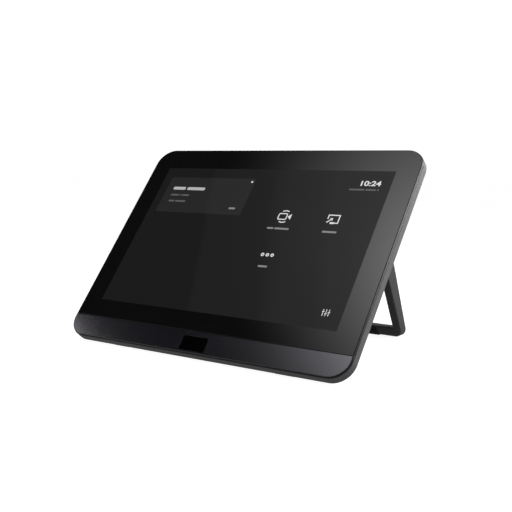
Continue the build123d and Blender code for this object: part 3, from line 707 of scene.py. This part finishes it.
def drawing(name, outlines, place, material):
    """A thin flat piece made of outlines in millimetres. One inside another is a hole."""
    data = bpy.data.curves.new(name, "CURVE")
    data.dimensions = "2D"
    data.fill_mode = "BOTH"
    data.extrude = sheet_half_thickness
    for outline in outlines:
        spline = data.splines.new("POLY")
        spline.points.add(len(outline) - 1)
        for point, (x, y) in zip(spline.points, outline):
            point.co = (x * mm, y * mm, 0, 1)
        spline.use_cyclic_u = True
    lay(name, mesh_of(data, name), place, material)


# Places on the glass and on the pod are in millimetres from the middle of the panel's low edge.
# X runs to the right as seen from in front of the glass, or from behind the pod.
def make_picture():
    """The lit area of the screen, the card in its corner and the lines on the card."""
    title_height = 2.4
    line_height = 1.3
    whole_screen = rounded_box((0, screen_center / mm), screen_width / mm, screen_height / mm, radius=0.3)
    card = rounded_box((-44.4, 111.9), width=70.2, height=29.0, radius=1.2)
    drawing("screen_picture", [whole_screen], picture_layer, picture_light)
    drawing("screen_card", [card], card_layer, card_light)
    drawing("card_title", words(-73.8, 115.9, (10.5, 15.0), title_height), mark_layer, title_light)
    drawing("card_line_one", words(-73.4, 110.9, (7.0, 1.2, 6.0), line_height), mark_layer, dim_light)
    drawing("card_line_two", words(-72.8, 105.9, (5.0, 8.6), line_height), mark_layer, dim_light)
    drawing("card_action", words(-20.4, 101.8, (5.0,), height=1.4), mark_layer, soft_light)
    drawing("card_dot", [circle((-11.6, 123.9), radius=0.75, steps=20)], mark_layer, bright_light)


def make_clock():
    """Generic clock numerals in the top right corner, with a dim line under them."""
    widening = 1.28
    right_end = (79.5 * mm, 123.2 * mm, 0)
    text = bpy.data.curves.new("clock_numerals", "FONT")
    text.body = "10:24"
    text.size = 5.0 * mm
    text.offset = 0.14 * mm
    text.extrude = sheet_half_thickness
    text.align_x = "RIGHT"
    mesh = mesh_of(text, "clock_numerals")
    mesh.transform(Matrix.Scale(widening, 4, (1, 0, 0)))
    place = mark_layer @ Matrix.Translation(right_end)
    lay("clock_numerals", mesh, place, bright_light)
    drawing("clock_line", words(60.0, 119.6, (10.2, 6.6, 1.2), height=1.2), mark_layer, dim_light)


def call_symbol(x, y, line):
    """A video camera between two arcs."""
    lens_back = x + 3.6
    lens_front = x + 6.0
    lens_half = 2.2
    arcs_middle = x + 1.1
    arcs_radius = 4.6
    squeeze = 0.3
    body = frame_box((x, y), width=6.6, height=5.0, radius=1.2, line=line)
    lens = [[(lens_back, y), (lens_front, y + lens_half), (lens_front, y - lens_half)]]
    over = arc_line((arcs_middle, y - squeeze), arcs_radius, 60, 120, line)
    under = arc_line((arcs_middle, y + squeeze), arcs_radius, 240, 300, line)
    return body + lens + over + under


def share_symbol(x, y, line):
    """A screen on a base, open at its low left corner, where an arrow points into it."""
    half_width = 3.7
    half_height = 2.8
    left, right = x - half_width, x + half_width
    low, top = y - half_height, y + half_height
    base_end = x + 1.5
    screen = path_line([(left, y), (left, top), (right, top), (right, low), (base_end, low)], line)
    base = [rounded_box((x, low), width=2.9, height=1.3, radius=0.3)]
    pointer = arrow((left - 0.1, low + 0.3), angle=42, shaft=3.3, head=1.4, line=line)
    return screen + base + pointer


def more_symbol(x, y, line):
    """Three rings in a row."""
    pitch = 3.4
    radius = 1.2
    rings = []
    for step in (-1, 0, 1):
        rings += ring((x + pitch * step, y), radius, line)
    return rings


def sliders_symbol(x, y, line):
    """Three upright sliders, each with its knob at another height."""
    pitch = 1.8
    half_length = 1.9
    knob_gap = 0.75
    knob_lifts = ((-1, 0.6), (0, -0.7), (1, 0.2))
    sliders = []
    for step, lift in knob_lifts:
        across = x + pitch * step
        knob_height = y + lift
        sliders += straight_line((across, y - half_length), (across, knob_height - knob_gap), line)
        sliders += straight_line((across, knob_height + knob_gap), (across, y + half_length), line)
        sliders += [rounded_box((across, knob_height), width=1.4, height=0.65, radius=0.25)]
    return sliders


def make_tiles():
    """The four generic symbols on the screen, three of them with a label."""
    thick = 0.75
    thin = 0.45
    label_height = 1.3
    drawing("call_symbol", call_symbol(22.4, 98.3, thick), mark_layer, bright_light)
    drawing("call_label", words(14.8, 88.7, (4.6, 10.2), label_height), mark_layer, soft_light)
    drawing("share_symbol", share_symbol(57.6, 98.2, thick), mark_layer, bright_light)
    drawing("share_label", words(53.4, 88.4, (9.6,), label_height), mark_layer, soft_light)
    drawing("more_symbol", more_symbol(23.4, 70.2, thick), mark_layer, bright_light)
    drawing("more_label", words(20.2, 61.4, (6.4,), label_height), mark_layer, soft_light)
    drawing("sliders_symbol", sliders_symbol(75.8, 36.9, thin), mark_layer, bright_light)


def network_mark(x, y, line):
    """One computer joined to two below it."""
    box_width = 2.2
    box_height = 1.6
    box_corner = 0.2
    high_box = y + 1.4
    low_box = y - 1.5
    high_end = y + 0.6
    low_end = y - 0.7
    left, right = x - 2.2, x + 2.2
    mark = frame_box((x, high_box), box_width, box_height, box_corner, line)
    mark += path_line([(x, high_end), (x, y)], line)
    mark += path_line([(left, low_end), (left, y), (right, y), (right, low_end)], line)
    for middle in (left, right):
        mark += frame_box((middle, low_box), box_width, box_height, box_corner, line)
    return mark


def power_mark(x, y, line):
    """The outline of a USB-C socket with its tongue."""
    shell = frame_box((x, y), width=4.6, height=1.9, radius=0.95, line=line)
    tongue = [rounded_box((x, y), width=2.6, height=0.4, radius=0.15)]
    return shell + tongue


def reset_mark(x, y, line):
    """A turning arrow: most of a circle, with its head at the top."""
    head_back = x + 0.1
    tip = (x - 0.9, y + 1.2)
    turn = arc_line((x, y), radius=1.4, start=120, stop=420, line=line)
    head = [[(head_back, y + 1.9), (head_back, y + 0.5), tip]]
    return turn + head


def lock_mark(x, y, line):
    """A padlock: a solid body under a bowed shackle."""
    shackle = arc_line((x, y + 0.5), radius=0.9, start=0, stop=180, line=line)
    body = [rounded_box((x, y - 0.6), width=2.8, height=2.1, radius=0.3)]
    return shackle + body


def make_socket_marks():
    """Plain printed symbols on the pod's back, over the two sockets, the reset button and the lock slot."""
    ink = "lens_plastic"
    ink_lift = 0.01 * mm
    line = 0.35
    height = 46.0
    pod_back = min(vertex.co.dot(out_of_glass) for vertex in nodes["rear_cover"].data.vertices)
    place = (
        panel
        @ Matrix.Translation((0, 0, pod_back - glass_face - ink_lift))
        @ Matrix.Rotation(pi, 4, "Y")
    )
    drawing("network_mark", network_mark(22.0, height, line), place, finishes[ink])
    drawing("power_mark", power_mark(-3.0, height, line), place, finishes[ink])
    drawing("reset_mark", reset_mark(-20.0, height, line), place, finishes[ink])
    drawing("lock_mark", lock_mark(-38.0, height, line), place, finishes[ink])


make_picture()
make_clock()
make_tiles()
make_socket_marks()
